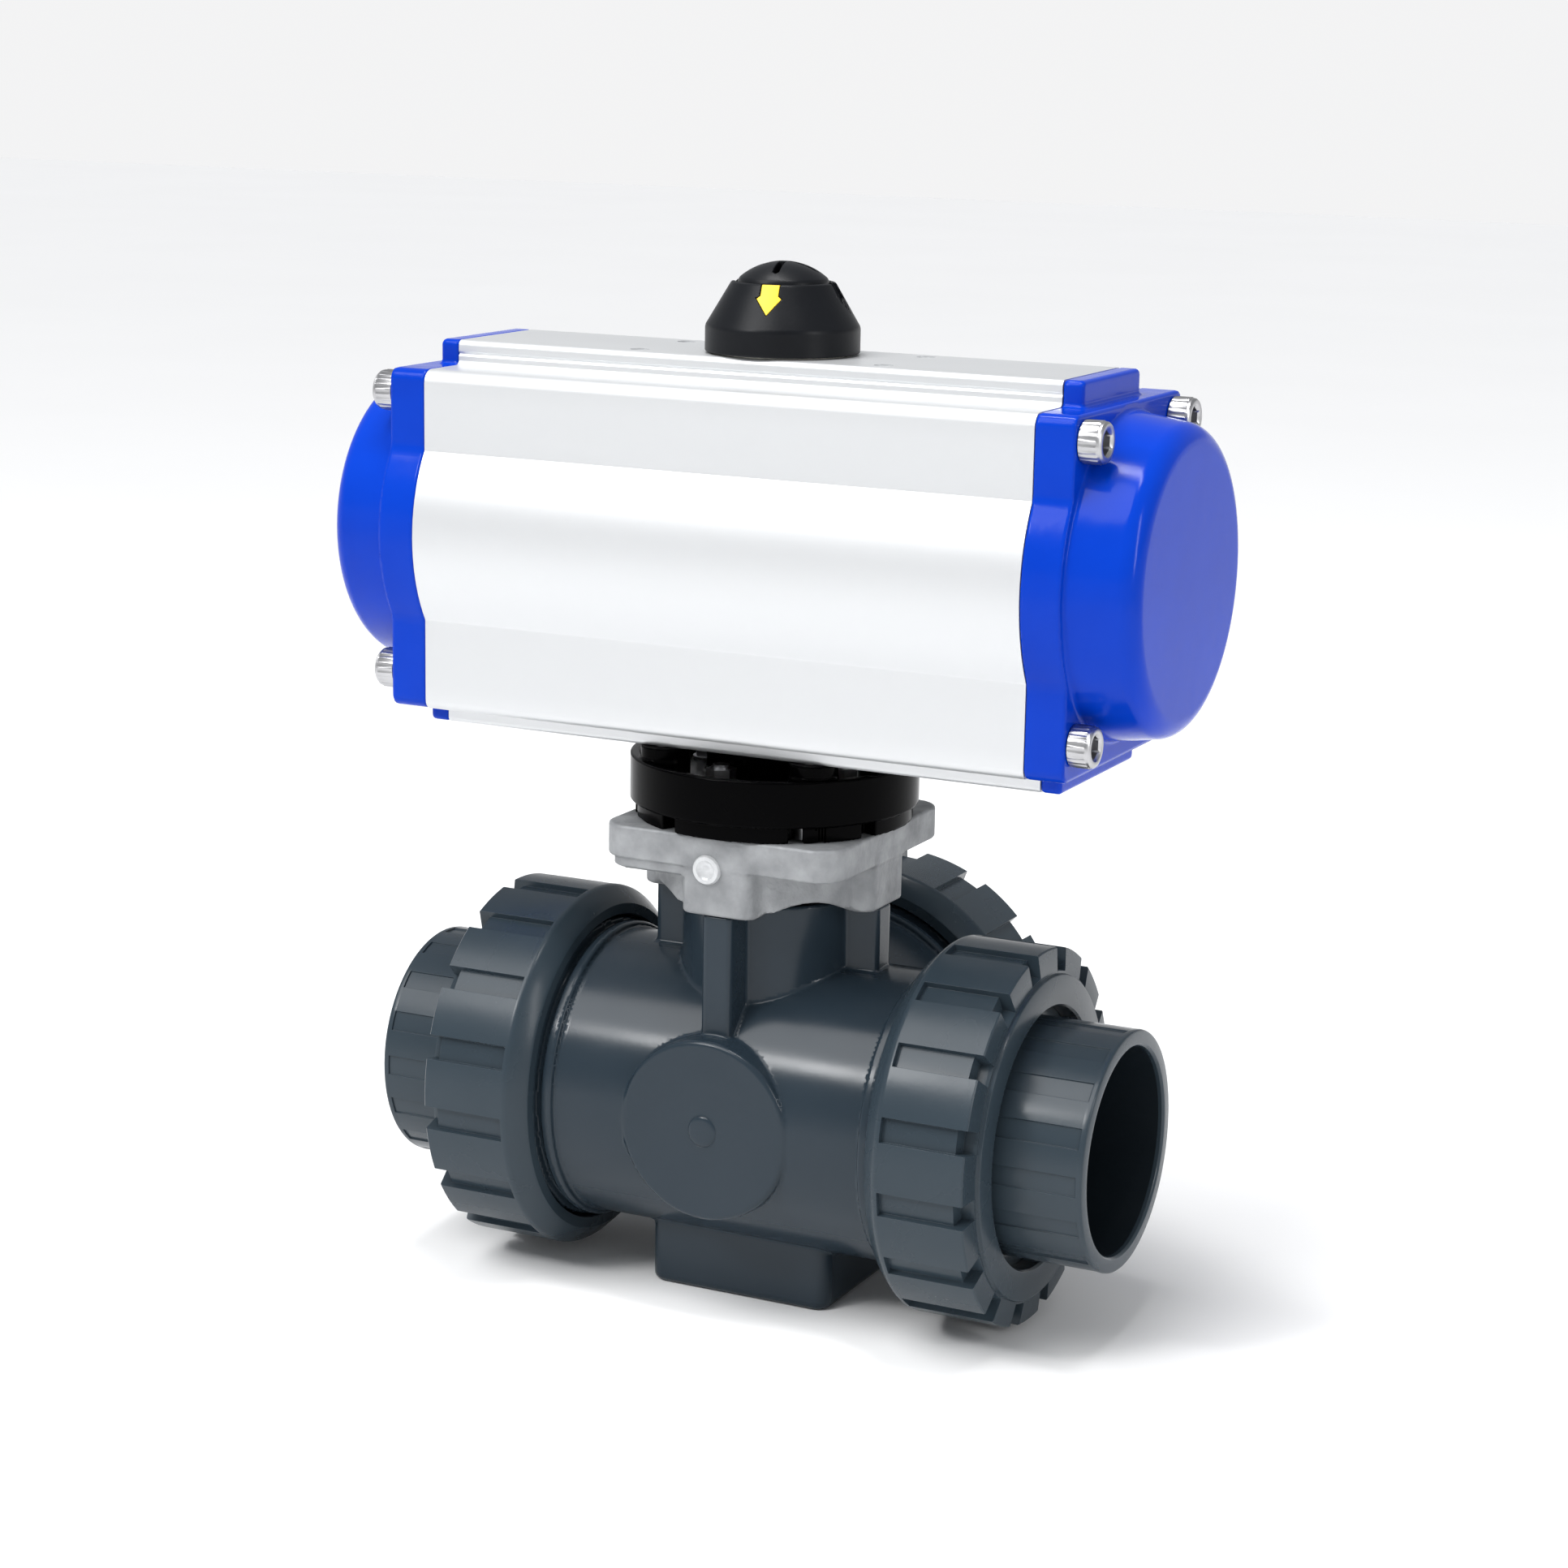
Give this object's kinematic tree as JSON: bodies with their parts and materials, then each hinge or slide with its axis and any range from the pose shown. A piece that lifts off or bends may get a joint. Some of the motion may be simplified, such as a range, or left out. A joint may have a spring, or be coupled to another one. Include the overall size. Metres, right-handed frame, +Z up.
{
  "type": "rotary pneumatic actuator with three-way ball valve",
  "caption": "Spring-return rack-and-pinion rotary actuator bolted through an adaptor disc and cast bracket to a three-way true-union plastic ball valve.",
  "frame": {"origin": "on the underside of the valve foot, where the stem axis meets it", "axes": "+Z up along the stem and pinion axis, +X along the actuator bore and the valve's straight run, towards the right-hand port; the third valve branch and the air ports face +Y"},
  "size_m": [0.262, 0.184, 0.317],
  "materials": {
    "anodised_body": "satin clear-anodised extrusion",
    "blue_paint": "glossy blue powder coat with a light orange peel",
    "stainless": "plain stainless",
    "rubber": "black nitrile",
    "acetal": "natural acetal",
    "black_enamel": "gloss black",
    "cast_aluminium": "rough as-cast grey",
    "pvc": "dark blue-grey moulded, semi gloss",
    "pvc_nut": "dark blue-grey moulded, semi gloss",
    "pvc_socket": "dark blue-grey moulded, satin",
    "pvc_inner": "dark blue-grey moulded, smooth",
    "ptfe": "natural white",
    "brass": "machined",
    "plated_steel": "nickel plated",
    "spring_steel": "oiled spring steel",
    "black_plastic": "satin black",
    "yellow_plastic": "bright yellow",
    "black_screw": "black oxide",
    "piston_cast": "die cast, hard anodised"
  },
  "bodies": {
    "housing": {"actuator_body": "anodised_body", "end_cap_left": "blue_paint", "end_cap_right": "blue_paint", "cap_screws_left": "stainless", "cap_screws_right": "stainless", "cap_seal_left": "rubber", "cap_seal_right": "rubber", "pinion_bearing_top": "acetal", "pinion_bearing_bottom": "acetal", "stop_bolts": "stainless", "stop_nuts": "stainless", "adaptor_disc": "black_enamel", "flange_screws": "stainless", "disc_studs": "stainless", "disc_nuts": "stainless", "mounting_bracket": "cast_aluminium", "bracket_screws": "stainless", "valve_body": "pvc", "foot_inserts": "brass", "ball_seat_front": "ptfe", "ball_seat_rear": "ptfe", "ball_seat_left": "ptfe", "ball_seat_right": "ptfe", "seat_carrier_rear": "pvc_inner", "seat_carrier_left": "pvc_inner", "seat_carrier_right": "pvc_inner", "connector_seal_rear": "rubber", "connector_seal_left": "rubber", "connector_seal_right": "rubber", "end_connector_rear": "pvc_socket", "end_connector_left": "pvc_socket", "end_connector_right": "pvc_socket", "union_nut_rear": "pvc_nut", "union_nut_left": "pvc_nut", "union_nut_right": "pvc_nut", "spring_left": "spring_steel", "spring_right": "spring_steel"},
    "drive": {"pinion": "plated_steel", "stop_cam": "plated_steel", "pinion_seal_top": "rubber", "pinion_seal_bottom": "rubber", "thrust_washer": "acetal", "snap_ring": "spring_steel", "indicator_cone": "black_plastic", "indicator_lid": "black_plastic", "indicator_arrow": "yellow_plastic", "indicator_screw": "black_screw", "drive_coupling": "plated_steel", "valve_stem": "pvc_inner", "stem_seals": "rubber", "valve_ball": "pvc_inner"},
    "piston_left_body": {"piston_left": "piston_cast", "piston_seal_left": "rubber", "guide_band_left": "acetal", "guide_pad_left": "acetal"},
    "piston_right_body": {"piston_right": "piston_cast", "piston_seal_right": "rubber", "guide_band_right": "acetal", "guide_pad_right": "acetal"}
  },
  "joints": [
    {"name": "stem_turn", "type": "hinge", "parent": "housing", "child": "drive", "pos_m": [0, 0, 0.2323], "axis": [0, 0, 1], "range_deg": [0, 90]},
    {"name": "piston_right_slide", "type": "slide", "parent": "housing", "child": "piston_right_body", "axis": [1, 0, 0], "range_m": [0, 0.03142], "stiffness_N_per_m": 150, "springref_m": -0.003, "deforming": ["spring_right"]},
    {"name": "piston_left_slide", "type": "slide", "parent": "housing", "child": "piston_left_body", "axis": [-1, 0, 0], "range_m": [0, 0.03142], "stiffness_N_per_m": 150, "springref_m": -0.003, "deforming": ["spring_left"]}
  ],
  "couplings": [
    {"joint": "piston_right_slide", "follows": "stem_turn", "m_per_rad": 0.02},
    {"joint": "piston_left_slide", "follows": "stem_turn", "m_per_rad": 0.02}
  ]
}
